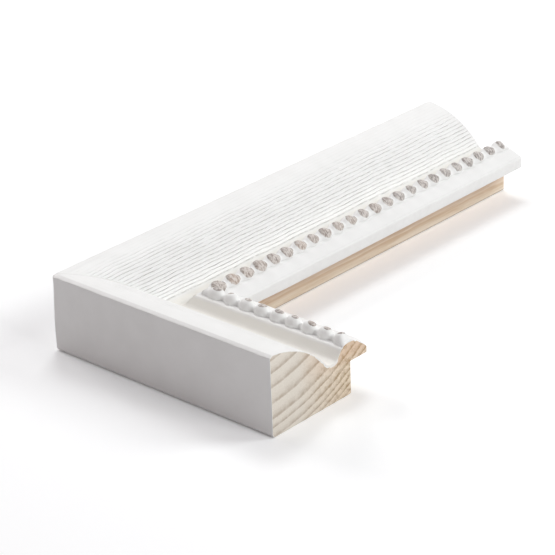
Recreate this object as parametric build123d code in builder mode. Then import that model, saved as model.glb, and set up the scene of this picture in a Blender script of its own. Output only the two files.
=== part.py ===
"""Corner sample of a white picture frame moulding: two mitred lengths of pine, glued at the corner.

Millimetres, +Z up. The moulding lies on its back, as a frame would lie on a table. The short leg runs
along +X and the long leg along +Y from the outer corner of the mitre. The origin is the middle of the
part's box, on the floor. Across the moulding, u is the distance from the outer face towards the
opening of the frame, and z is the height above the back.
"""
from build123d import *
import math
import os

# Lengths along the outer faces, from the corner to each sawn end
SHORT_LEG = 107.6
LONG_LEG = 220.8

# The section: outside sizes, rebate and back bevel
WIDTH = 50.2
HEIGHT = 31.2
REBATE_WIDTH = 9.0
REBATE_DEPTH = 12.8
OUTER_ARRIS_Z = 30.4
OUTER_ARRIS_BREAK = 1.5
OUTER_ARRIS_CROWN = 0.15
BACK_BEVEL_WIDTH = 1.1
BACK_BEVEL_HEIGHT = 2.5

# The section: the broad swell of the face, the cove at its foot and the ledge that carries the beads
SWELL_RADIUS = 39.0
SWELL_SET_BACK = 2.2
SWELL_CENTRE = (-SWELL_SET_BACK, HEIGHT - math.sqrt(SWELL_RADIUS**2 - SWELL_SET_BACK**2))
COVE_BOTTOM = (31.8, 15.2)
WALL_FOOT_U = 34.1
LEDGE_EDGE = (36.9, 19.4)
LEDGE_INNER = (44.8, 19.4)
SIGHT_SHOULDER = (49.4, 17.4)
SIGHT_ARRIS_Z = 16.7
EDGE_RADII = (0.6, 1.2, 1.0, 0.6)

# Reeding along the swell: shallow rounded reeds with a sharp groove between each two
REED_COUNT = 20
REED_PITCH = 1.5
REED_START = 2.0
REED_RISE = 0.22

# The bead row, with the string that joins the beads
BEAD_PITCH = 7.5
FIRST_BEAD = 44.6
BEAD_CENTRE = (40.7, 19.0)
BEAD_RADIUS = 3.5
BEAD_LENGTH = 5.9
STRING_RADIUS = 2.2

CORNER = Vector(-SHORT_LEG / 2, -LONG_LEG / 2, 0)
SHORT_SECTION = Plane(origin=CORNER, x_dir=(0, 1, 0), z_dir=(1, 0, 0))
LONG_SECTION = Plane(origin=CORNER, x_dir=(1, 0, 0), z_dir=(0, -1, 0))
MITRE = Plane(origin=CORNER, x_dir=(1, 1, 0), z_dir=(1, -1, 0))


def on_swell(distance, rise=0.0):
    """Point of the swell at a distance along its curve from the outer face, raised off the curve."""
    angle = math.asin(-SWELL_CENTRE[0] / SWELL_RADIUS) + distance / SWELL_RADIUS
    reach = SWELL_RADIUS + rise
    return (SWELL_CENTRE[0] + reach * math.sin(angle), SWELL_CENTRE[1] + reach * math.cos(angle))


# The cove is tangent to the swell and passes through its own lowest point
cove_across = COVE_BOTTOM[0] - SWELL_CENTRE[0]
cove_up = COVE_BOTTOM[1] - SWELL_CENTRE[1]
cove_radius = (cove_across**2 + cove_up**2 - SWELL_RADIUS**2) / (2 * (SWELL_RADIUS - cove_up))
swell_share = SWELL_RADIUS / (SWELL_RADIUS + cove_radius)
swell_end = (
    SWELL_CENTRE[0] + cove_across * swell_share,
    SWELL_CENTRE[1] + (cove_up + cove_radius) * swell_share,
)
wall_foot_rise = cove_radius - math.sqrt(cove_radius**2 - (WALL_FOOT_U - COVE_BOTTOM[0]) ** 2)
wall_foot = (WALL_FOOT_U, COVE_BOTTOM[1] + wall_foot_rise)
rebate_u = WIDTH - REBATE_WIDTH

with BuildSketch() as section:
    with BuildLine():
        # Back, back bevel, outer face and its top arris, broken to a narrow crowned strip
        arris_end = on_swell(OUTER_ARRIS_BREAK)
        Polyline(
            (rebate_u, 0),
            (BACK_BEVEL_WIDTH, 0),
            (0, BACK_BEVEL_HEIGHT),
            (0, OUTER_ARRIS_Z),
        )
        SagittaArc((0, OUTER_ARRIS_Z), arris_end, -OUTER_ARRIS_CROWN)
        # The swell, plain as far as the first groove, then reeded, then plain into the cove
        plain_middle = on_swell((OUTER_ARRIS_BREAK + REED_START) / 2)
        ThreePointArc(arris_end, plain_middle, on_swell(REED_START))
        for reed in range(REED_COUNT):
            groove = REED_START + reed * REED_PITCH
            crown = on_swell(groove + REED_PITCH / 2, REED_RISE)
            ThreePointArc(on_swell(groove), crown, on_swell(groove + REED_PITCH))
        Line(on_swell(REED_START + REED_COUNT * REED_PITCH), swell_end)
        ThreePointArc(swell_end, COVE_BOTTOM, wall_foot)
        # The wall, the ledge, the slope down to the sight edge, the lip and the rebate
        FilletPolyline(
            wall_foot,
            LEDGE_EDGE,
            LEDGE_INNER,
            SIGHT_SHOULDER,
            (WIDTH, SIGHT_ARRIS_Z),
            (WIDTH, REBATE_DEPTH),
            radius=EDGE_RADII,
        )
        Polyline((WIDTH, REBATE_DEPTH), (rebate_u, REBATE_DEPTH), (rebate_u, 0))
    make_face()
    with Locations(BEAD_CENTRE):
        Circle(STRING_RADIUS)


# One bead, turned about the line of the row, with flat ends that lie inside the string
with BuildPart() as bead:
    half_length = BEAD_LENGTH / 2
    end_radius = math.sqrt(BEAD_RADIUS**2 - half_length**2)
    with BuildSketch(Plane.YZ):
        with BuildLine():
            ThreePointArc((-end_radius, -half_length), (-BEAD_RADIUS, 0), (-end_radius, half_length))
            Polyline(
                (-end_radius, half_length), (0, half_length), (0, -half_length), (-end_radius, -half_length)
            )
        make_face()
    revolve(axis=Axis.Z)


def make_leg(name, section_plane, length, direction, side):
    """One mitred length: the section run out, the beads set along it, and the corner cut at 45 degrees."""
    bead_total = 1 + int((length - FIRST_BEAD) / BEAD_PITCH)
    with BuildPart() as leg:
        with BuildSketch(section_plane):
            add(section.sketch)
        extrude(amount=direction * length)
        places = [
            section_plane.offset(direction * (FIRST_BEAD + number * BEAD_PITCH)).location
            * Location((*BEAD_CENTRE, 0))
            for number in range(bead_total)
        ]
        with Locations(*places):
            add(bead.part)
        split(bisect_by=MITRE, keep=side)
    leg.part.label = name
    return leg.part


short_leg = make_leg("short_leg", SHORT_SECTION, SHORT_LEG, 1, Keep.TOP)
long_leg = make_leg("long_leg", LONG_SECTION, LONG_LEG, -1, Keep.BOTTOM)

os.makedirs("parts", exist_ok=True)
export_step(short_leg, "parts/short_leg.step")
export_step(long_leg, "parts/long_leg.step")
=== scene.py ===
"""Corner sample of a white picture frame moulding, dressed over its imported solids.

Sizes of the moulding are in millimetres and become metres as a mesh is made. Along a leg, the run is
the distance from the outer corner of the mitre. Across it, u is the distance from the outer face
towards the opening of the frame, and z is the height above the back.
"""
import math
import bmesh
import bpy
import numpy as np
from mathutils import Matrix, Vector


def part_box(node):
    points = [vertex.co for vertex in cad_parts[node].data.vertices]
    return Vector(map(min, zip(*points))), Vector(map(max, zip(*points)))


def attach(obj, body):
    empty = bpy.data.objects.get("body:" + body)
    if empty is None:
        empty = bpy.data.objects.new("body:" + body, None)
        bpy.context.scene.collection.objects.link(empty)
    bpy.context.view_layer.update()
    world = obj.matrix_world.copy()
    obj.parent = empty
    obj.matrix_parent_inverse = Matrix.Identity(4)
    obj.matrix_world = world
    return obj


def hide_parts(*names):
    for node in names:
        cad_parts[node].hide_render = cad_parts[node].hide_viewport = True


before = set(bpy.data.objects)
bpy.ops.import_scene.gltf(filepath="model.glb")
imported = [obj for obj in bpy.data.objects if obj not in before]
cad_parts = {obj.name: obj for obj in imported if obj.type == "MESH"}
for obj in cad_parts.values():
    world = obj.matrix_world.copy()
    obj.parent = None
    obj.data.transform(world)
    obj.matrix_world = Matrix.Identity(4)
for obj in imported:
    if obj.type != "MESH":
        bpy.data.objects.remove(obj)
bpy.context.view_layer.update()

# Swell and cove. The face of the moulding is a broad swell that runs down into a cove, both cut in the
# pine by one shaped cutter, so that each passes into the other without a step.
HEIGHT = 31.2
SWELL_RADIUS = 39.0
SWELL_SET_BACK = 2.2
SWELL_CENTRE = (-SWELL_SET_BACK, HEIGHT - math.sqrt(SWELL_RADIUS**2 - SWELL_SET_BACK**2))
COVE_BOTTOM = (31.8, 15.2)
WALL_FOOT_U = 34.1
COVE_ACROSS = COVE_BOTTOM[0] - SWELL_CENTRE[0]
COVE_UP = COVE_BOTTOM[1] - SWELL_CENTRE[1]
COVE_RADIUS = (COVE_ACROSS**2 + COVE_UP**2 - SWELL_RADIUS**2) / (2 * (SWELL_RADIUS - COVE_UP))
COVE_ANGLE = math.atan2(COVE_ACROSS, COVE_UP + COVE_RADIUS)
SWELL_LENGTH = (COVE_ANGLE - math.asin(SWELL_SET_BACK / SWELL_RADIUS)) * SWELL_RADIUS
FOOT_ANGLE = math.asin((WALL_FOOT_U - COVE_BOTTOM[0]) / COVE_RADIUS)
FACE_LENGTH = SWELL_LENGTH + COVE_RADIUS * (COVE_ANGLE + FOOT_ANGLE)


def on_swell(distance, rise=0.0):
    """Points of the swell at distances along its curve from the outer face, raised off the curve."""
    angle = math.asin(SWELL_SET_BACK / SWELL_RADIUS) + distance / SWELL_RADIUS
    reach = SWELL_RADIUS + rise
    return SWELL_CENTRE[0] + reach * np.sin(angle), SWELL_CENTRE[1] + reach * np.cos(angle)


def on_face(distance, rise=0.0):
    """Points of the swell and of the cove beyond it, at distances along their curve."""
    swell_u, swell_z = on_swell(distance, rise)
    turn = (distance - SWELL_LENGTH) / COVE_RADIUS - COVE_ANGLE
    reach = COVE_RADIUS - rise
    cove_u = COVE_BOTTOM[0] + reach * np.sin(turn)
    cove_z = COVE_BOTTOM[1] + COVE_RADIUS - reach * np.cos(turn)
    in_cove = distance > SWELL_LENGTH
    return np.where(in_cove, cove_u, swell_u), np.where(in_cove, cove_z, swell_z)


# Reeding. A comb-shaped cutter leaves fine grooves along the swell, the last of them at the start of
# the cove. They fan out a little from the corner to the far end, wander with the hand, and fade out
# where the cutter rides off the outer edge and beside the mitre.
OUTER_ARRIS_BREAK = 1.5
REEDS = 20
REED_RISE = 0.08
REED_BULGE = 0.9
FIRST_GROOVE_NEAR = 4.1
FIRST_GROOVE_OFF_ARRIS = 0.3
LAST_GROOVE = 32.45
GROOVE_LIMIT = 32.9
GROOVE_FAN = 0.0265
GROOVE_LEAST_GAP = 0.12
GROOVE_CROWDING = 0.35
GROOVES_SWAY = (0.12, 90, 20)
GROOVE_WANDER = (0.10, 60, 9)
GROOVE_SHARES = {0.0: 1.0, 0.07: 0.30, 0.14: 0.0, 0.5: 0.0, 0.86: 0.0, 0.93: 0.30}
GROOVE_DEPTH = 0.34
GROOVE_DEPTH_MIDDLE = 0.75
GROOVE_DEPTH_RANGE = (0.1, 1.3)
GROOVE_DEPTH_WAVE = (0.45, 40, 4)
NEAR_DEPTH = 0.35
NEAR_REACH = 45.0
PLAIN_EDGE_NEAR = 5.5
PLAIN_EDGE_FAN = 0.02
PLAIN_EDGE_FADE = 8.0
PLAIN_EDGE_FAINT = 0.14
FAINTEST_SHARE = 0.4
FAINT_REACH = 3.0
WAVES_TOGETHER = 5
WEAKEST_WAVE = 0.4
WAVES_SPAN = 1.6


def drift(run, dice, unevenness):
    """A smooth value that wanders along the run. The unevenness is its depth, longest and shortest wave."""
    depth, longest, shortest = unevenness
    total = np.zeros_like(run)
    for wave in np.geomspace(longest, shortest, WAVES_TOGETHER):
        strength = dice.uniform(WEAKEST_WAVE, 1.0)
        total += strength * np.sin(2 * math.pi * (run / wave + dice.uniform()))
    return depth * (total / WAVES_SPAN)


def eased(share):
    """A share from 0 to 1, with a soft start and a soft end."""
    return share**2 * (3 - 2 * share)


def groove_lines(run, dice):
    """Distance along the face of each line of the reeding, and its depth, at every station of the run."""
    together = drift(run, dice, GROOVES_SWAY)
    lines = []
    depths = []
    for number in range(REEDS + 1):
        share = number / REEDS
        first = FIRST_GROOVE_NEAR - GROOVE_FAN * run
        place = first + (LAST_GROOVE - first) * share + 4 * REED_BULGE * share * (1 - share)
        place = place + together + drift(run, dice, GROOVE_WANDER)
        outermost = OUTER_ARRIS_BREAK + FIRST_GROOVE_OFF_ARRIS + GROOVE_LEAST_GAP * number
        place = outermost + np.logaddexp(0, (place - outermost) / GROOVE_CROWDING) * GROOVE_CROWDING
        lines.append(np.minimum(place, GROOVE_LIMIT))
        nearness = 1 + NEAR_DEPTH * np.exp(-run / NEAR_REACH)
        unevenness = GROOVE_DEPTH_MIDDLE + drift(run, dice, GROOVE_DEPTH_WAVE)
        depths.append(GROOVE_DEPTH * nearness * np.clip(unevenness, *GROOVE_DEPTH_RANGE))
    return lines, depths


def reed_fade(run, place, mitre_fade):
    """How far the reeding has come up to its full depth, from 0 to 1."""
    off_edge = (place - PLAIN_EDGE_NEAR - PLAIN_EDGE_FAN * run) / PLAIN_EDGE_FADE
    off_mitre = np.clip((run - on_face(place)[0]) / mitre_fade, 0, 1)
    faintest = PLAIN_EDGE_FAINT * np.clip((place - OUTER_ARRIS_BREAK) / FAINT_REACH, FAINTEST_SHARE, 1)
    return np.clip(off_edge, faintest, 1) * eased(off_mitre)


# Beads. The row is turned up from the stick with a bead cutter, with a thin string left between the
# beads. Each bead differs slightly, and its top is rubbed through the white to an aged silver.
BEAD_PITCH = 7.5
FIRST_BEAD = 44.6
BEAD_CENTRE = (40.7, 19.55)
BEAD_ACROSS = 2.85
BEAD_UP = 3.6
BEAD_HALF_LENGTH = 3.6
BEAD_FULLNESS = 2.1
BEAD_SMALLEST = 0.96
BEAD_OFFSET = 0.12
BEAD_LUMPS = (0.008, 9, 2)
BEAD_LUMP_TWIST = 3
BEAD_SHADE_FADE = 0.6
BEAD_ARC_STEPS = 22
BEAD_MERGE = 9
STRING_RADIUS = 2.1
STRING_FADE = 3.0
LEDGE_STRIP_SHARE = 0.3
LEDGE_STRIP_WIDEST = 0.3
END_FADE = 2.6
END_FADE_SHARE = 0.8
END_ACROSS = 3.2
END_UP = 0.9
CORNER_STATIONS = (-1.0, 0.0, 0.35, 0.7, 1.1, 1.6, 2.3)
STATION_STEP = 1.5
STATION_LEAD = 1.0
STATION_GAP_TO_BEAD = 0.5
STATION_GAP_TO_END = 0.15
STATIONS_ON_BEAD = 11
RUB_SPREAD = 1.5
NEAR_RUB_GROWTH = 0.12
NEAR_RUB_END = 108.0
NEAR_RUB_FADE = 60.0
RUB_WARM_NEAR = 1.05
RUB_WARM_FADE = 170
RUB_WARM_VARIETY = (0.2, 1.2)
RIM_REACH = 0.9
RIM_WIDTH = 0.17
RIM_SHARE = 0.35
RIM_SHADE_GROWTH = 1.2


def bead_places(length):
    """Where the beads sit along a leg."""
    total = 1 + int((length - FIRST_BEAD) / BEAD_PITCH)
    return [FIRST_BEAD + number * BEAD_PITCH for number in range(total)]


def stations_along(length):
    """Places along the run where the outline is repeated, close together over each bead."""
    places = bead_places(length)
    run = list(CORNER_STATIONS)
    plain_end = places[0] - BEAD_PITCH / 2 - STATION_GAP_TO_BEAD
    run += list(np.arange(run[-1] + STATION_LEAD, plain_end, STATION_STEP))
    for place in places:
        run.append(place - BEAD_PITCH / 2)
        run.append(place - (BEAD_PITCH / 2 + BEAD_HALF_LENGTH) / 2)
        run += [place + BEAD_HALF_LENGTH * math.sin(turn)
                for turn in np.linspace(-math.pi / 2, math.pi / 2, STATIONS_ON_BEAD)]
        run.append(place + (BEAD_PITCH / 2 + BEAD_HALF_LENGTH) / 2)
    run = [station for station in run if station < length - STATION_GAP_TO_END]
    return np.array(run + [length])


def bead_swelling(run, length, work, dice):
    """How far the bead row stands out across and up at every station, and where along it is rubbed."""
    across = np.zeros_like(run)
    up = np.zeros_like(run)
    rubbed = np.full_like(run, 2 * BEAD_PITCH)
    rub_size = np.full_like(run, work["rub_radius"])
    tone = np.zeros_like(run)
    for place in bead_places(length):
        size = dice.uniform(BEAD_SMALLEST, 1.0)
        offset = dice.uniform(-BEAD_OFFSET, BEAD_OFFSET)
        half_length = BEAD_HALF_LENGTH if place == FIRST_BEAD else work["half_length"]
        share = np.abs(run - place - offset) / half_length
        curve = np.clip(1 - share**BEAD_FULLNESS, 0, 1) ** (1 / BEAD_FULLNESS)
        across = np.maximum(across, BEAD_ACROSS * size * curve)
        up = np.maximum(up, BEAD_UP * size * curve)
        middle = place + work["rub_ahead"] + dice.uniform(-1, 1) * work["rub_scatter"]
        nearness = min(max((NEAR_RUB_END - place) / NEAR_RUB_FADE, 0), 1)
        radius = work["rub_radius"] * (1 + NEAR_RUB_GROWTH * nearness)
        radius *= dice.uniform(1 - work["rub_variety"], 1 + work["rub_variety"])
        warm = work["rub_warmth"] * np.clip(RUB_WARM_NEAR - place / RUB_WARM_FADE, 0, 1)
        warm *= dice.uniform(*RUB_WARM_VARIETY)
        here = np.abs(run - place) <= BEAD_PITCH / 2
        tone = np.where(here, warm, tone)
        rubbed = np.where(here, run - middle, rubbed)
        rub_size = np.where(here, radius, rub_size)
    past_first = np.clip((run - FIRST_BEAD) / STRING_FADE, 0, 1)
    string = STRING_RADIUS + (work["string"] - STRING_RADIUS) * past_first
    across = (across**BEAD_MERGE + string**BEAD_MERGE) ** (1 / BEAD_MERGE)
    up = (up**BEAD_MERGE + string**BEAD_MERGE) ** (1 / BEAD_MERGE)
    cut = eased(np.clip((run - length + END_FADE) / (END_FADE_SHARE * END_FADE), 0, 1))
    across += (END_ACROSS - across) * cut
    up += (END_UP - up) * cut
    rubbed += BEAD_PITCH * cut
    return across, up, rubbed, rub_size, tone


# The moulding. Both legs are cut from pine stock that has been run through shaped cutters, so that the
# swell, the reeding, the cove and the ledge for the beads are all one outline, drawn out along the run.
WIDTH = 50.2
REBATE_U = 41.2
REBATE_DEPTH = 12.8
REBATE_GAP = 0.15
BACK_BEVEL = (0.6, 1.2)
BACK_BEVEL_RADIUS = 0.5
BACK_EASE_OUTER = 0.8
BACK_EASE_REBATE = 1.4
SHADOW_GAP = 0.4
SHADOW_EDGE_RADIUS = 0.15
FACE_WAVE = (0.05, 120, 25)
FACE_EDGE_WAVE = (0.03, 30, 4)
FACE_EDGE_BELOW = (0.5, 0.1)
OUTER_ARRIS_Z = 30.4
OUTER_ARRIS_CROWN = 0.04
OUTER_ARRIS_WAVE = (0.05, 30, 3)
OUTER_ARRIS_SHARES = (0.05, 0.14, 0.4, 0.7, 0.9, 1.0)
PLAIN_EDGE_FIRST = 0.12
INWARD_SHADE_FROM = 4.0
INWARD_SHADE_FADE = 16.0
COVE_WAVE = (0.03, 70, 12)
COVE_SHADE = 0.12
COVE_CREAM_RISE = 3
COVE_COLUMNS = 12
WALL_SHADE_SHARE = 0.5
LEDGE_Z = 19.4
LEDGE_EDGE_U = 36.9
LEDGE_EDGE_RADIUS = 1.0
LEDGE_EDGE_WAVE = (0.05, 25, 5)
LEDGE_EDGE_CREAM = 0.3
LEDGE_INNER_U = 44.8
LEDGE_INNER_RADIUS = 1.2
SIGHT_SHOULDER = (49.4, 17.4)
SIGHT_SHOULDER_RADIUS = 0.9
SIGHT_ARRIS_Z = 16.7
SIGHT_ARRIS_RADIUS = 0.35
LIP_EDGE_RADIUS = 0.3
LIP_WEAR_REACH = 5.0
LIP_SHADE = 0.25
LIP_BUILD_REACH = 20.0
LIP_COAT_OFF_EDGE = 0.5
LIP_PINE_OFF_EDGE = 0.8
COAT_SLOT = 0
PINE_SLOT = 1


def rounded_corner(before, corner, after, radius, steps):
    """Points of the small arc that rounds a corner of the outline."""
    before, corner, after = Vector(before), Vector(corner), Vector(after)
    back = (before - corner).normalized()
    ahead = (after - corner).normalized()
    half = back.angle(ahead) / 2
    middle = corner + (back + ahead).normalized() * radius / math.sin(half)
    start = corner + back * radius / math.tan(half) - middle
    turn = -start.angle_signed(corner + ahead * radius / math.tan(half) - middle)
    spin = [Matrix.Rotation(turn * step / steps, 2) @ start for step in range(steps + 1)]
    return [tuple(middle + arm) for arm in spin]


def between(start, end, steps):
    """Points inside a straight stretch, without its two ends."""
    return [tuple(Vector(start).lerp(Vector(end), step / steps)) for step in range(1, steps)]


def outline_along(run, length, work, dice):
    """The whole outline at every station: columns from the back, up the outer face and round.

    The work says how one leg was cut, coated and rubbed, in millimetres or as shares of the full effect.
    """
    columns = []
    finishes = []
    level = np.zeros_like(run)

    # Besides its place and finish, each column carries a share of painted shade, by which the coat is
    # painted grey where shade falls, and the rubbing, cream and rim of the coat.
    def add(u, z, finish=COAT_SLOT, groove=0.0, rub=0.0, cream=0.0, rim=0.0):
        inside = np.clip(u + level, 0, WIDTH)
        columns.append((inside, z + level, groove + level, rub + level, cream + level, rim + level))
        finishes.append(finish)

    def add_all(points, finish=COAT_SLOT):
        for u, z in points:
            add(u, z, finish)

    # Back, back bevel and outer face, which is not quite flat under its coat. The back's edges stand a
    # hair off the table, which leaves a thin dark line under each long face.
    back_corner = (REBATE_U, REBATE_GAP)
    bevel_high = (0.0, BACK_BEVEL[1])
    bevel_low = (BACK_BEVEL[0] * (1 - SHADOW_GAP / BACK_BEVEL[1]), SHADOW_GAP)
    back_near = (BACK_BEVEL[0] + BACK_EASE_OUTER, 0.0)
    back_far = (REBATE_U - BACK_EASE_REBATE, 0.0)
    face_top = (0.0, OUTER_ARRIS_Z)
    add_all([back_far] + between(back_far, back_near, 6) + [back_near], PINE_SLOT)
    add_all(rounded_corner(back_near, bevel_low, bevel_high, SHADOW_EDGE_RADIUS, 2))
    add_all(rounded_corner(bevel_low, bevel_high, face_top, BACK_BEVEL_RADIUS, 2))
    for u, z in between(bevel_high, face_top, 9):
        add(u + FACE_WAVE[0] + drift(run, dice, FACE_WAVE), z)
    worn_edge = FACE_EDGE_WAVE[0] + drift(run, dice, FACE_EDGE_WAVE)
    for below in FACE_EDGE_BELOW:
        add(worn_edge, OUTER_ARRIS_Z - below)
    arris_end = Vector(on_swell(OUTER_ARRIS_BREAK))
    across_arris = arris_end - Vector(face_top)
    outward = Vector((-across_arris.y, across_arris.x)).normalized()
    wear = OUTER_ARRIS_WAVE[0] + drift(run, dice, OUTER_ARRIS_WAVE)
    for share in OUTER_ARRIS_SHARES:
        crown = 4 * OUTER_ARRIS_CROWN * share * (1 - share) - wear * (1 - share)
        place = Vector(face_top) + across_arris * share
        add(place.x + outward.x * crown, place.y + outward.y * crown)

    # Reeded swell, then the cove
    # Painted shade across the swell, growing from 4 mm to 20 mm along the face to the strength that the
    # leg's work gives.
    def inward_shade(place):
        return work["inward_shade"] * np.clip((place - INWARD_SHADE_FROM) / INWARD_SHADE_FADE, 0, 1)

    # The dips of the grooves carry painted shade, strongest at their bottoms.
    lines, depths = groove_lines(run, dice)
    add(*on_swell(OUTER_ARRIS_BREAK + PLAIN_EDGE_FIRST * (lines[0] - OUTER_ARRIS_BREAK)))
    add(*on_swell((OUTER_ARRIS_BREAK + lines[0]) / 2))
    for number in range(REEDS):
        for share, dip in GROOVE_SHARES.items():
            place = lines[number] + share * (lines[number + 1] - lines[number])
            depth = depths[number] if share < 0.5 else depths[number + 1]
            strength = work["relief"] * reed_fade(run, place, work["mitre_fade"])
            rise = strength * (REED_RISE * (1 - (2 * share - 1) ** 2) - depth * dip)
            add(*on_face(place, rise), groove=strength * dip + inward_shade(place))
    strength = work["relief"] * reed_fade(run, lines[REEDS], work["mitre_fade"])
    add(*on_face(lines[REEDS], -strength * depths[REEDS]), groove=strength + inward_shade(lines[REEDS]))
    hollow = drift(run, dice, COVE_WAVE)
    # Painted shade in the hollow of the cove.
    shade_here = max(work["inward_shade"], COVE_SHADE)
    for share in np.linspace(0, 1, COVE_COLUMNS + 1)[1:]:
        place = lines[REEDS] + share * (FACE_LENGTH - lines[REEDS])
        add(*on_face(place, hollow * share), groove=shade_here, cream=min(COVE_CREAM_RISE * share, 1.0))

    # Wall and the rounded edge of the ledge
    wall_foot = (WALL_FOOT_U, COVE_BOTTOM[1] + COVE_RADIUS * (1 - math.cos(FOOT_ANGLE)))
    ledge_edge = (LEDGE_EDGE_U, LEDGE_Z)
    ledge_inner = (LEDGE_INNER_U, LEDGE_Z)
    # The wall is creamier, and carries painted shade.
    for u, z in between(wall_foot, ledge_edge, 4):
        add(u, z, groove=WALL_SHADE_SHARE * work["inward_shade"], cream=1.0)
    edge_arc = rounded_corner(wall_foot, ledge_edge, ledge_inner, LEDGE_EDGE_RADIUS, 4)
    edge_wave = drift(run, dice, LEDGE_EDGE_WAVE)
    for u, z in edge_arc[:-1]:
        add(u, z + edge_wave, cream=LEDGE_EDGE_CREAM)

    # Ledge, bead row and ledge again: the row's half round grows and shrinks along the run
    across, up, rubbed, rub_size, tone = bead_swelling(run, length, work, dice)
    sink = (LEDGE_Z - BEAD_CENTRE[1]) / up
    low_turn = np.arcsin(sink)
    row_start = BEAD_CENTRE[0] - across * np.cos(low_turn)
    strip_start = edge_arc[-1][0]
    strip = np.minimum(row_start - strip_start, LEDGE_STRIP_WIDEST)
    add(strip_start + LEDGE_STRIP_SHARE * strip, LEDGE_Z)
    for step in range(BEAD_ARC_STEPS + 1):
        share = step / BEAD_ARC_STEPS
        turn = math.pi - low_turn - share * (math.pi - 2 * low_turn)
        lump = 1 + drift(run + BEAD_LUMP_TWIST * share, dice, BEAD_LUMPS)
        off_u = across * np.cos(turn) - BEAD_ACROSS * math.cos(work["rub_turn"])
        off_z = up * np.sin(turn) - BEAD_UP * math.sin(work["rub_turn"])
        reach = np.sqrt(rubbed**2 + off_u**2 + off_z**2) / rub_size
        # A dark rim of bare ground round each rubbed patch, painted darker towards the cove side of the
        # bead as shade.
        rim = np.exp(-((reach - RIM_REACH) / RIM_WIDTH) ** 2)
        rim = rim * np.clip(RIM_SHARE + RIM_SHADE_GROWTH * (turn - work["rub_turn"]), 0, 1)
        # Shade is painted on each bead from its cove side, fading over its top towards the sight edge.
        add(BEAD_CENTRE[0] + across * lump * np.cos(turn),
            BEAD_CENTRE[1] + up * np.minimum(lump, 1.0) * np.sin(turn),
            groove=work["bead_shade"] * (1 - BEAD_SHADE_FADE * share),
            rub=np.clip(RUB_SPREAD - reach, 0, RUB_SPREAD), rim=rim)
    inner_arc = rounded_corner(ledge_edge, ledge_inner, SIGHT_SHOULDER, LEDGE_INNER_RADIUS, 3)
    add_all(inner_arc)

    # Slope, shoulder, sight edge, lip and rebate
    sight_arris = (WIDTH, SIGHT_ARRIS_Z)
    rebate_top = (REBATE_U, REBATE_DEPTH)
    sight_low = (WIDTH, REBATE_DEPTH)
    build_up = work["lip_build"] * np.clip((run - WIDTH) / LIP_BUILD_REACH, 0, 1)
    lip = between(ledge_inner, SIGHT_SHOULDER, 4)[1:]
    lip += rounded_corner(ledge_inner, SIGHT_SHOULDER, sight_arris, SIGHT_SHOULDER_RADIUS, 4)
    lip += rounded_corner(SIGHT_SHOULDER, sight_arris, sight_low, SIGHT_ARRIS_RADIUS, 3)
    worn = work["lip_wear"] * np.clip((run - length + LIP_WEAR_REACH) / LIP_WEAR_REACH, 0, 1) ** 2
    # Below the shoulder, the sight face and the lip's edge carry painted shade.
    for u, z in lip:
        shade_here = LIP_SHADE if z < SIGHT_SHOULDER[1] else 0.0
        add(u, z - worn * (u - LEDGE_INNER_U) / (WIDTH - LEDGE_INNER_U), groove=shade_here)
    for u, z in rounded_corner(sight_arris, sight_low, rebate_top, LIP_EDGE_RADIUS, 3)[:-1]:
        add(u, z - build_up, groove=LIP_SHADE)
    add(WIDTH - LIP_COAT_OFF_EDGE, REBATE_DEPTH - build_up)
    add_all([(WIDTH - LIP_PINE_OFF_EDGE, REBATE_DEPTH)] + between(sight_low, rebate_top, 4), PINE_SLOT)
    add_all([rebate_top] + between(rebate_top, back_corner, 6) + [back_corner], PINE_SLOT)
    return columns, finishes, tone


# Coat. Gesso and satin white paint, brushed along the run. It is thickest and creamiest in the cove, and
# rubbed through on the beads to aged leaf over a brown ground. Shade is painted into it as patchy grey:
# in the grooves, the cove, on the ledge wall and the lip, on the beads' cove side and across the short
# leg's swell.
COAT_WHITE = (0.885, 0.885, 0.875, 1)
COAT_SHADE = (0.850, 0.850, 0.838, 1)
COAT_CREAM = (0.872, 0.852, 0.800, 1)
SEAM_GREY = (0.640, 0.635, 0.620, 1)
SEAM_PALE = (0.900, 0.890, 0.850, 1)
SEAM_HALF_WIDTH = 0.16
SEAM_STRENGTH = 0.55
PAINTED_SHADE_GREY = (0.560, 0.555, 0.535, 1)
SHADE_PATCHINESS = 4.0
SHADE_LEVEL = 0.65
GROUND_DARK = (0.215, 0.180, 0.160, 1)
LEAF_GREY = (0.370, 0.340, 0.325, 1)
LEAF_TAN = (0.520, 0.390, 0.305, 1)
LEAF_LIGHT = (0.680, 0.635, 0.600, 1)
RUB_RAGGEDNESS = 0.34
RIM_DARKNESS = 0.9
BRUSH_STRETCH = (2.4, 0.06, 2.4)
PEEL_SHARE = 0.6
BRUSH_STRENGTH = 0.25
BRUSH_HEIGHT = 0.00006


def add_node(tree, kind, inputs=None, **settings):
    """One shader node with its settings, and its inputs set or linked."""
    made = tree.nodes.new(kind)
    for name, value in settings.items():
        setattr(made, name, value)
    for socket, value in (inputs or {}).items():
        if isinstance(value, bpy.types.NodeSocket):
            tree.links.new(value, made.inputs[socket])
        else:
            made.inputs[socket].default_value = value
    return made


def new_material(name):
    """An empty node material with a principled shader and its output."""
    material = bpy.data.materials.new(name)
    material.use_nodes = True
    tree = material.node_tree
    tree.nodes.clear()
    shader = add_node(tree, "ShaderNodeBsdfPrincipled")
    add_node(tree, "ShaderNodeOutputMaterial", {"Surface": shader.outputs["BSDF"]})
    return material, tree, shader


def math_node(tree, operation, first, second=0.0, third=0.0, clamp=False):
    """The result of one arithmetic step on values of the shader."""
    made = add_node(tree, "ShaderNodeMath", {0: first, 1: second, 2: third}, operation=operation)
    made.use_clamp = clamp
    return made.outputs[0]


def mix_colours(tree, share, first, second):
    """A colour between two others."""
    made = add_node(tree, "ShaderNodeMix", {0: share, 6: first, 7: second}, data_type="RGBA")
    return made.outputs[2]


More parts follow.
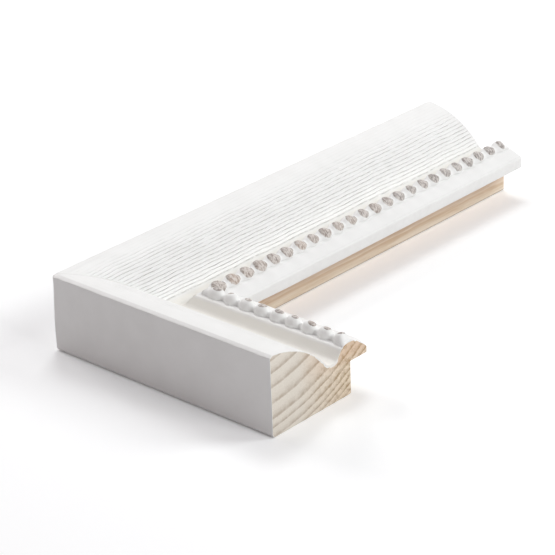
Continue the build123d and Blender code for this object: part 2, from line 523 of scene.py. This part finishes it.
def ramp(tree, value, stops):
    """A colour ramp with the given stops, each a position and a colour or a grey level."""
    made = add_node(tree, "ShaderNodeValToRGB", {"Fac": value})
    elements = made.color_ramp.elements
    while len(elements) < len(stops):
        elements.new(0.5)
    for element, (place, colour) in zip(elements, stops):
        element.position = place
        element.color = colour if isinstance(colour, tuple) else (colour, colour, colour, 1)
    return made.outputs["Color"]


def stretched(tree, vector, scale):
    """Coordinates stretched differently along each axis of the stick."""
    made = add_node(tree, "ShaderNodeVectorMath", {0: vector, 1: scale}, operation="MULTIPLY")
    return made.outputs[0]


def noise(tree, vector, scale, detail=3.0, roughness=0.5):
    """A noise value from 0 to 1, with its scale in features for each millimetre."""
    inputs = {"Vector": vector, "Scale": scale, "Detail": detail, "Roughness": roughness}
    return add_node(tree, "ShaderNodeTexNoise", inputs).outputs["Fac"]


def attribute(tree, name, output="Fac"):
    """A value that the mesh carries."""
    return add_node(tree, "ShaderNodeAttribute", attribute_name=name).outputs[output]


def add_bump(tree, shader, relief, strength, height):
    """Fine relief that shows in the light but isn't in the mesh."""
    bump = add_node(tree, "ShaderNodeBump", {"Height": relief, "Strength": strength, "Distance": height})
    tree.links.new(bump.outputs["Normal"], shader.inputs["Normal"])


coat, tree, shader = new_material("white_coat")
stick = attribute(tree, "stick", "Vector")
mottle = noise(tree, stick, 0.09, 4.0, 0.55)
patch = noise(tree, stick, 0.45, 3.0, 0.5)
base = mix_colours(tree, ramp(tree, mottle, [(0.35, 0.0), (0.7, 1.0)]), COAT_WHITE, COAT_SHADE)
base = mix_colours(tree, attribute(tree, "cream"), base, COAT_CREAM)
# Painted shade: the coat is mixed patchily towards grey by the share that the mesh carries.
groove = attribute(tree, "groove")
shade_share = math_node(tree, "MULTIPLY_ADD", patch, SHADE_PATCHINESS, -SHADE_PATCHINESS / 2)
shade_share = math_node(tree, "MULTIPLY_ADD", shade_share, groove, SHADE_LEVEL, clamp=True)
shade_share = math_node(tree, "MULTIPLY", shade_share, groove)
base = mix_colours(tree, shade_share, base, PAINTED_SHADE_GREY)
parts = add_node(tree, "ShaderNodeSeparateXYZ", {0: stick})
off_mitre = math_node(tree, "SUBTRACT", parts.outputs["X"], parts.outputs["Y"])
off_mitre = math_node(tree, "ABSOLUTE", off_mitre)
off_mitre = math_node(tree, "DIVIDE", off_mitre, 2 * SEAM_HALF_WIDTH, clamp=True)
# Along the mitre the coat is greyer, and paler where the seam crosses the cove.
seam = mix_colours(tree, attribute(tree, "cream"), SEAM_GREY, SEAM_PALE)
base = mix_colours(tree, ramp(tree, off_mitre, [(0.4, SEAM_STRENGTH), (1.0, 0.0)]), base, seam)
rubbing = attribute(tree, "rub")
ragged = math_node(tree, "MULTIPLY_ADD", patch, RUB_RAGGEDNESS, -RUB_RAGGEDNESS / 2)
bare = ramp(tree, math_node(tree, "ADD", rubbing, ragged), [(0.48, 0.0), (0.60, 1.0)])
across_bead = stretched(tree, stick, (0.45, 1.0, 0.45))
flecks = noise(tree, across_bead, 1.4, 4.0, 0.6)
leaves = [ramp(tree, flecks, [(0.32, GROUND_DARK), (0.45, middle), (0.58, LEAF_LIGHT), (0.75, middle)])
          for middle in (LEAF_GREY, LEAF_TAN)]
leaf = mix_colours(tree, attribute(tree, "tone"), leaves[0], leaves[1])
# The rim: dark ground round the leaf, with painted shade on its cove side.
rim = math_node(tree, "MULTIPLY", attribute(tree, "rim"), RIM_DARKNESS)
leaf = mix_colours(tree, rim, leaf, GROUND_DARK)
base = mix_colours(tree, bare, base, leaf)
tree.links.new(base, shader.inputs["Base Color"])
gloss = noise(tree, stick, 0.6, 3.0)
tree.links.new(ramp(tree, gloss, [(0.3, 0.38), (0.7, 0.5)]), shader.inputs["Roughness"])
brush = noise(tree, stretched(tree, stick, BRUSH_STRETCH), 1.0, 4.0, 0.6)
peel = noise(tree, stick, 2.2, 3.0)
relief = math_node(tree, "ADD", brush, math_node(tree, "MULTIPLY", peel, PEEL_SHARE))
add_bump(tree, shader, relief, BRUSH_STRENGTH, BRUSH_HEIGHT)

# Pine. The stick is slash-sawn softwood, bare in the rebate, on the back and on the sawn ends: broad
# pale spring wood with thin brown summer rings about a pith that lies outside the stick. It is paler and
# softer towards the outer face, and browner and more ragged towards the rebate.
RING_TONE = ((0.0, 0.0), (0.40, 0.08), (0.70, 0.45), (0.90, 1.0), (1.0, 0.25))
RICH_FROM_U = 14.0
RICH_AT_U = 38.0
STAIN = (0.620, 0.375, 0.225, 1)
FOOT_CONTACT_SHADE = (0.300, 0.220, 0.150, 1)
FOOT_HEIGHT = 0.7
RING_LEAN = 0.004
RING_SWAY = 1.4
RING_RAGGEDNESS = 0.06
RICH_RAGGEDNESS = 0.3
BLOTCH_SHARE = 0.5
FIBRE_SHARE = 0.35
PINE_ROUGHNESS = 0.72
RING_RELIEF = 0.4
GRAIN_STRENGTH = 0.5
GRAIN_HEIGHT = 0.00012


def pine_material(name, pith, ring_radii, pale, rich, stain_and_foot_shade):
    """Bare pine whose rings are centred on a pith across the stick, stained brown between two heights, and
    painted dark along its foot as a contact shadow.
    """
    material, tree, shader = new_material(name)
    stick = attribute(tree, "stick", "Vector")
    parts = add_node(tree, "ShaderNodeSeparateXYZ", {0: stick})
    sway = noise(tree, stretched(tree, stick, (0.05, 0.012, 0.05)), 1.0, 3.0)
    off_u = math_node(tree, "SUBTRACT", parts.outputs["X"], pith[0])
    off_z = math_node(tree, "SUBTRACT", parts.outputs["Z"], pith[1])
    squares = math_node(tree, "MULTIPLY_ADD", off_z, off_z, math_node(tree, "MULTIPLY", off_u, off_u))
    distance = math_node(tree, "SQRT", squares)
    distance = math_node(tree, "MULTIPLY_ADD", sway, RING_SWAY, distance)
    distance = math_node(tree, "MULTIPLY_ADD", parts.outputs["Y"], RING_LEAN, distance)
    low, high = ring_radii[0], ring_radii[-1]
    distance = math_node(tree, "SUBTRACT", distance, low + RING_SWAY / 2)
    share = math_node(tree, "DIVIDE", distance, high - low)
    steps = len(ring_radii) - 1
    counted = ramp(tree, share, [((radius - low) / (high - low), count / steps)
                                 for count, radius in enumerate(ring_radii)])
    richness = math_node(tree, "SUBTRACT", parts.outputs["X"], RICH_FROM_U)
    richness = math_node(tree, "DIVIDE", richness, RICH_AT_U - RICH_FROM_U, clamp=True)
    ragged = noise(tree, stretched(tree, stick, (1.5, 0.05, 1.5)), 1.0, 3.0)
    raggedness = math_node(tree, "MULTIPLY_ADD", richness, RICH_RAGGEDNESS, RING_RAGGEDNESS)
    ragged = math_node(tree, "MULTIPLY", ragged, raggedness)
    ring_place = math_node(tree, "MULTIPLY_ADD", counted, float(steps), ragged)
    tone = ramp(tree, math_node(tree, "FRACT", ring_place), RING_TONE)
    worn = noise(tree, stretched(tree, stick, (0.35, 0.02, 0.35)), 1.0, 3.0, 0.6)
    broken = ramp(tree, worn, [(0.35, 0.45), (0.6, 1.0)])
    tone = math_node(tree, "MULTIPLY", tone, broken)
    blotch = noise(tree, stretched(tree, stick, (0.6, 0.03, 0.6)), 1.0, 4.0, 0.65)
    blotch = ramp(tree, blotch, [(0.48, 0.0), (0.64, BLOTCH_SHARE)])
    tone = math_node(tree, "MULTIPLY_ADD", blotch, richness, tone, clamp=True)
    fibre = noise(tree, stretched(tree, stick, (3.5, 0.08, 3.5)), 1.0, 4.0, 0.65)
    tone = math_node(tree, "ADD", tone, ramp(tree, fibre, [(0.35, 0.0), (0.75, FIBRE_SHARE)]), clamp=True)
    base = mix_colours(tree, richness, mix_colours(tree, tone, pale[0], pale[1]),
                       mix_colours(tree, tone, rich[0], rich[1]))
    stain_low, stain_high, stain_share, foot_share = stain_and_foot_shade
    stained = math_node(tree, "SUBTRACT", parts.outputs["Z"], stain_low)
    stained = math_node(tree, "DIVIDE", stained, stain_high - stain_low, clamp=True)
    stained = math_node(tree, "MULTIPLY", stained, math_node(tree, "MULTIPLY", richness, stain_share))
    base = mix_colours(tree, stained, base, STAIN)
    # Painted contact shadow: the wood darkens towards its bottom edge, where it stands on the floor.
    off_foot = math_node(tree, "DIVIDE", parts.outputs["Z"], FOOT_HEIGHT, clamp=True)
    foot = math_node(tree, "MULTIPLY_ADD", off_foot, -foot_share, foot_share)
    base = mix_colours(tree, foot, base, FOOT_CONTACT_SHADE)
    tree.links.new(base, shader.inputs["Base Color"])
    shader.inputs["Roughness"].default_value = PINE_ROUGHNESS
    relief = math_node(tree, "ADD", fibre, math_node(tree, "MULTIPLY", tone, RING_RELIEF))
    add_bump(tree, shader, relief, GRAIN_STRENGTH, GRAIN_HEIGHT)
    return material


# Sawing. Each end shows the coat as a thin white edge round the bare wood, thickest in the cove where
# the gesso pooled. The corner is sawn to 45 degrees, and the arris of the joined faces is worn round.
MM = 0.001
COAT_EDGE_U = (0, 20, 28, 31.5, 33.5, 35, 50)
COAT_EDGE = (0.14, 0.24, 0.65, 1.15, 0.80, 0.15, 0.08)
COAT_EDGE_WAVE = (0.25, 12, 1.5)
COAT_EDGE_CREAM = 0.5
CORNER_WEAR_LOW = 0.5
CORNER_WEAR_HIGH = 2.2
CORNER_WEAR_FROM_Z = 8
CORNER_WEAR_GROWTH = 18
CORNER_WEAR_CURVE = 1.5
CORNER_TIP_DIP = 0.6
CORNER_TIP_REACH = 2.2
CORNER_TIP_HEIGHT = 3
SHARP_ANGLE = math.radians(38)


def coat_on_end(end_u, end_z, dice):
    """The outline of the bare wood on a sawn end: the leg's own outline moved in by the coat."""
    kernel = np.array([1.0, 2.0, 3.0, 2.0, 1.0]) / 9
    smooth_u = np.convolve(np.concatenate([end_u[-2:], end_u, end_u[:2]]), kernel, "valid")
    smooth_z = np.convolve(np.concatenate([end_z[-2:], end_z, end_z[:2]]), kernel, "valid")
    tangent = np.stack([np.roll(smooth_u, -1) - np.roll(smooth_u, 1),
                        np.roll(smooth_z, -1) - np.roll(smooth_z, 1)], 1)
    tangent /= np.linalg.norm(tangent, axis=1)[:, None]
    thickness = np.interp(end_u, COAT_EDGE_U, COAT_EDGE) * (1 + drift(end_u, dice, COAT_EDGE_WAVE))
    return end_u + tangent[:, 1] * thickness, end_z - tangent[:, 0] * thickness


def wear_corner(shape, corner):
    """Round the upright arris of the corner, a little more towards its top, and dull its tip."""
    for vertex in shape.verts:
        across, along = (vertex.co.x - corner.x) / MM, (vertex.co.y - corner.y) / MM
        height = vertex.co.z / MM
        if max(across, along) > 3 * CORNER_TIP_REACH:
            continue
        high_share = min(max((height - CORNER_WEAR_FROM_Z) / CORNER_WEAR_GROWTH, 0), 1)
        radius = CORNER_WEAR_LOW + (CORNER_WEAR_HIGH - CORNER_WEAR_LOW) * high_share**CORNER_WEAR_CURVE
        if max(across, along) < radius:
            arm = Vector((across - radius, along - radius))
            if arm.length > radius:
                arm *= radius / arm.length
                vertex.co.x = corner.x + (radius + arm.x) * MM
                vertex.co.y = corner.y + (radius + arm.y) * MM
        above = height - OUTER_ARRIS_Z + CORNER_TIP_HEIGHT
        if above > 0:
            near = math.exp(-(across**2 + along**2) / CORNER_TIP_REACH**2)
            vertex.co.z -= CORNER_TIP_DIP * near * min(above / CORNER_TIP_HEIGHT, 1) * MM


def saw_leg(name, corner, length, along_x, work, pine, seed):
    """One leg: the outline drawn out, its end sawn square and its corner sawn to the mitre."""
    dice = np.random.RandomState(seed)
    run = stations_along(length)
    columns, finishes, tone = outline_along(run, length, work, dice)
    stations, wide = len(run), len(columns)
    u, z, groove, rub, cream, rim = (np.stack(field, 1) for field in zip(*columns))
    points = np.stack([u.ravel(), np.repeat(run, wide), z.ravel()], 1)
    coated = [column for column in range(wide) if finishes[column] == COAT_SLOT]
    inner_u, inner_z = coat_on_end(u[-1], z[-1], dice)
    wood_edge = np.stack([inner_u[coated], np.full(len(coated), length), inner_z[coated]], 1)
    points = np.concatenate([points, wood_edge])
    plain = np.zeros(len(coated))
    values = {
        "groove": np.concatenate([groove.ravel(), plain]),
        "rub": np.concatenate([rub.ravel(), plain]),
        "cream": np.concatenate([cream.ravel(), plain + COAT_EDGE_CREAM]),
        "rim": np.concatenate([rim.ravel(), plain]),
        "tone": np.concatenate([np.repeat(tone, wide), plain]),
    }

    faces = []
    slots = []
    for station in range(stations - 1):
        for column in range(wide):
            ahead = (column + 1) % wide
            low, high = station * wide, (station + 1) * wide
            faces.append((low + column, high + column, high + ahead, low + ahead))
            slots.append(finishes[column])
    last = (stations - 1) * wide
    inner = {column: stations * wide + order for order, column in enumerate(coated)}
    for column in coated:
        ahead = (column + 1) % wide
        ring = [last + column, last + ahead, inner.get(ahead), inner[column]]
        faces.append(tuple(vertex for vertex in ring if vertex is not None))
        slots.append(COAT_SLOT)
        if column - 1 not in inner:
            faces.append((last + column - 1, last + column, inner[column]))
            slots.append(COAT_SLOT)
    faces.append(tuple(inner.get(column, last + column) for column in range(wide)))
    slots.append(PINE_SLOT)

    order = (1, 0, 2) if along_x else (0, 1, 2)
    mesh = bpy.data.meshes.new(name)
    mesh.from_pydata((points[:, order] * MM + np.array(corner)).tolist(), [], faces)
    mesh.polygons.foreach_set("material_index", slots)
    mesh.attributes.new("stick", "FLOAT_VECTOR", "POINT").data.foreach_set("vector", points.ravel())
    for label, field in values.items():
        mesh.attributes.new(label, "FLOAT", "POINT").data.foreach_set("value", field)
    for material in (coat, pine):
        mesh.materials.append(material)

    # The mitre: cut at 45 degrees through the outer corner
    shape = bmesh.new()
    shape.from_mesh(mesh)
    away = Vector((-1, 1, 0)).normalized() if along_x else Vector((1, -1, 0)).normalized()
    whole = shape.verts[:] + shape.edges[:] + shape.faces[:]
    cut = bmesh.ops.bisect_plane(shape, geom=whole, plane_co=corner, plane_no=away, clear_outer=True)
    rim_edges = [item for item in cut["geom_cut"] if isinstance(item, bmesh.types.BMEdge)]
    bmesh.ops.edgeloop_fill(shape, edges=rim_edges, mat_nr=PINE_SLOT)
    bmesh.ops.recalc_face_normals(shape, faces=shape.faces[:])
    if shape.calc_volume(signed=True) < 0:
        bmesh.ops.reverse_faces(shape, faces=shape.faces[:])
    wear_corner(shape, corner)
    for face in shape.faces:
        face.smooth = True
    shape.to_mesh(mesh)
    shape.free()
    mesh.set_sharp_from_angle(angle=SHARP_ANGLE)
    leg = bpy.data.objects.new(name, mesh)
    bpy.context.scene.collection.objects.link(leg)
    return leg


# The short leg. It runs along +X from the corner, and its sawn end faces the viewer's right, with
# close, curved rings that tighten towards the rebate. Its coat is thicker and nearly fills the reeding.
short_low, short_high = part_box("short_leg")
SHORT_PITH = (-8.0, 102.0)
SHORT_RINGS = (64.0, 69.0, 73.8, 78.6, 84.2, 90.4, 96.1, 99.3, 103.0, 105.6, 108.0, 110.4, 112.8, 115.2)
SHORT_PALE = ((0.805, 0.760, 0.680, 1), (0.500, 0.425, 0.345, 1))
SHORT_RICH = ((0.850, 0.735, 0.590, 1), (0.400, 0.280, 0.155, 1))
SHORT_STAIN_AND_FOOT_SHADE = (12.0, 16.0, 0.35, 0.0)
SHORT_SEED = 5
# The short leg's work paints shade over its inner swell, in its cove, on its wall and on the beads' cove
# side.
SHORT_WORK = {
    "relief": 0.45, "mitre_fade": 4.0, "inward_shade": 0.24, "bead_shade": 0.12, "string": 1.5,
    "half_length": 3.2, "lip_wear": 1.6, "lip_build": 0.0,
    "rub_ahead": 0.0, "rub_scatter": 1.3, "rub_turn": math.radians(82), "rub_radius": 1.55,
    "rub_variety": 0.3, "rub_warmth": 0.5,
}
short_pine = pine_material("short_leg_pine", SHORT_PITH, SHORT_RINGS, SHORT_PALE, SHORT_RICH, SHORT_STAIN_AND_FOOT_SHADE)
mitre_corner = Vector((short_low.x, short_low.y, 0))
short_length = (short_high.x - short_low.x) / MM
short_leg = saw_leg(
    "short_leg_moulding", mitre_corner, short_length, True, SHORT_WORK, short_pine, SHORT_SEED)
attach(short_leg, "root")
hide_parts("short_leg")

# The long leg. It runs along +Y from the corner, twice as long, from a plainer sawn board: its rebate
# shows one brown band under the lip and pale wood below it.
long_low, long_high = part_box("long_leg")
LONG_PITH = (30.0, -58.0)
LONG_RINGS = (40.0, 46.0, 53.0, 59.5, 65.0, 72.0, 78.0, 83.5, 88.0, 92.0)
LONG_PALE = ((0.780, 0.700, 0.580, 1), (0.520, 0.420, 0.310, 1))
LONG_RICH = ((0.860, 0.780, 0.660, 1), (0.660, 0.520, 0.370, 1))
# Its rebate wall is painted dark along its foot as a contact shadow.
LONG_STAIN_AND_FOOT_SHADE = (2.5, 9.0, 0.72, 0.9)
LONG_SEED = 11
LONG_WORK = {
    "relief": 1.0, "mitre_fade": 1.2, "inward_shade": 0.0, "bead_shade": 0.0, "string": 2.1,
    "half_length": 3.6, "lip_wear": 0.0, "lip_build": 0.45,
    "rub_ahead": 0.8, "rub_scatter": 0.3, "rub_turn": math.radians(58), "rub_radius": 3.15,
    "rub_variety": 0.07, "rub_warmth": 1.0,
}
long_pine = pine_material("long_leg_pine", LONG_PITH, LONG_RINGS, LONG_PALE, LONG_RICH, LONG_STAIN_AND_FOOT_SHADE)
long_length = (long_high.y - long_low.y) / MM
long_leg = saw_leg(
    "long_leg_moulding", mitre_corner, long_length, False, LONG_WORK, long_pine, LONG_SEED)
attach(long_leg, "root")
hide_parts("long_leg")

# The floor. A sheet of white paper, wide enough to pass out of view. To the camera it is a little
# brighter than the paper alone, and plain white far from the part, so that it reads as white while it
# keeps the soft shadows.
FLOOR_SIZE = 6.0
FLOOR_DROP = 0.0001
FLOOR_ROUGHNESS = 0.9
FLOOR_SHEEN = 0.1
FLOOR_WHITE = (0.90, 0.90, 0.905, 1)
FLOOR_SEEN = (1, 1, 1, 1)
FLOOR_GLOW = (0.91, 1, 1.05, 1)
FLOOR_LIFT = 0.11
FLOOR_NEAR = 0.4
FLOOR_FAR = 0.95


def seen_directly(tree):
    """1 where the camera looks at a surface itself, in a reflection or through glass, and 0 elsewhere."""
    rays = add_node(tree, "ShaderNodeLightPath")
    seen = math_node(tree, "MAXIMUM", rays.outputs["Is Camera Ray"], rays.outputs["Is Glossy Ray"])
    return math_node(tree, "MAXIMUM", seen, rays.outputs["Is Transmission Ray"])


floor_mesh = bpy.data.meshes.new("paper_floor")
half = FLOOR_SIZE / 2
floor_corners = [(-half, -half, 0), (half, -half, 0), (half, half, 0), (-half, half, 0)]
floor_mesh.from_pydata(floor_corners, [], [(0, 1, 2, 3)])
floor = bpy.data.objects.new("paper_floor", floor_mesh)
bpy.context.scene.collection.objects.link(floor)
floor.location.z = -FLOOR_DROP
paper, tree, shader = new_material("white_paper")
shader.inputs["Roughness"].default_value = FLOOR_ROUGHNESS
shader.inputs["Specular IOR Level"].default_value = FLOOR_SHEEN
seen = seen_directly(tree)
tree.links.new(mix_colours(tree, seen, FLOOR_WHITE, FLOOR_SEEN), shader.inputs["Base Color"])
shader.inputs["Emission Color"].default_value = FLOOR_GLOW
ground = add_node(tree, "ShaderNodeNewGeometry").outputs["Position"]
distance = add_node(tree, "ShaderNodeVectorMath", {0: ground}, operation="LENGTH").outputs["Value"]
lift = ramp(tree, distance, [(FLOOR_NEAR, FLOOR_LIFT), (FLOOR_FAR, 1.0)])
tree.links.new(math_node(tree, "MULTIPLY", seen, lift), shader.inputs["Emission Strength"])
floor_mesh.materials.append(paper)

# The light. Four soft lamps stand round the part, to its right, to its left and behind it, in a pale
# and slightly warm room. The outer face of the short leg is lit by the room alone, so it is in shade.
LAMP_SIZE = 0.45
LAMP_AIM = (0, 0, 0.01)
ROOM_WARMTH = (1, 0.89, 0.90, 1)
ROOM_STRENGTH = 0.218
SOFT_LAMPS = (
    ("right_panel", (1.065, 0.000, 0.746), 5.0, (0.99, 1, 1)),
    ("left_panel", (-1.065, 0.000, 0.746), 4.6, (1, 0.965, 0.96)),
    ("back_right_panel", (0.724, 0.724, 0.800), 5.7, (0.96, 1, 1)),
    ("back_left_panel", (-0.460, 0.460, 1.126), 5.2, (0.96, 0.99, 1)),
)
for label, place, power, colour in SOFT_LAMPS:
    panel = bpy.data.lights.new(label, "AREA")
    panel.size = LAMP_SIZE
    panel.energy = power
    panel.color = colour
    lamp = bpy.data.objects.new(label, panel)
    lamp.location = place
    lamp.rotation_euler = (Vector(LAMP_AIM) - Vector(place)).to_track_quat("-Z", "Y").to_euler()
    bpy.context.scene.collection.objects.link(lamp)
world = bpy.data.worlds.new("pale_room")
world.use_nodes = True
tree = world.node_tree
tree.nodes.clear()
seen = seen_directly(tree)
room = add_node(tree, "ShaderNodeBackground", {"Color": ROOM_WARMTH, "Strength": ROOM_STRENGTH})
backdrop = add_node(tree, "ShaderNodeBackground", {"Color": (1, 1, 1, 1), "Strength": 1.0})
both = add_node(tree, "ShaderNodeMixShader", {0: seen, 1: room.outputs[0], 2: backdrop.outputs[0]})
add_node(tree, "ShaderNodeOutputWorld", {"Surface": both.outputs[0]})
bpy.context.scene.world = world

# The camera. It looks through a long lens from the front right and a little above, towards the corner
# of the two legs, and is rolled slightly as the photograph is.
CAMERA_PLACE = (0.50285, -0.59044, 0.36952)
CAMERA_TARGET = (-0.0080, -0.0381, 0.0157)
CAMERA_ROLL = math.radians(-2.27)
CAMERA_LENS = 143.5
CAMERA_FILM_WIDTH = 36
CAMERA_NEAREST = 0.01
camera_data = bpy.data.cameras.new("photo_camera")
camera_data.lens = CAMERA_LENS
camera_data.sensor_width = CAMERA_FILM_WIDTH
camera_data.clip_start = CAMERA_NEAREST
camera = bpy.data.objects.new("photo_camera", camera_data)
camera.location = CAMERA_PLACE
aim = (Vector(CAMERA_TARGET) - Vector(CAMERA_PLACE)).to_track_quat("-Z", "Y").to_matrix()
camera.rotation_euler = (aim @ Matrix.Rotation(CAMERA_ROLL, 3, "Z")).to_euler()
bpy.context.scene.collection.objects.link(camera)
bpy.context.scene.camera = camera
bpy.context.scene.view_settings.view_transform = "Standard"
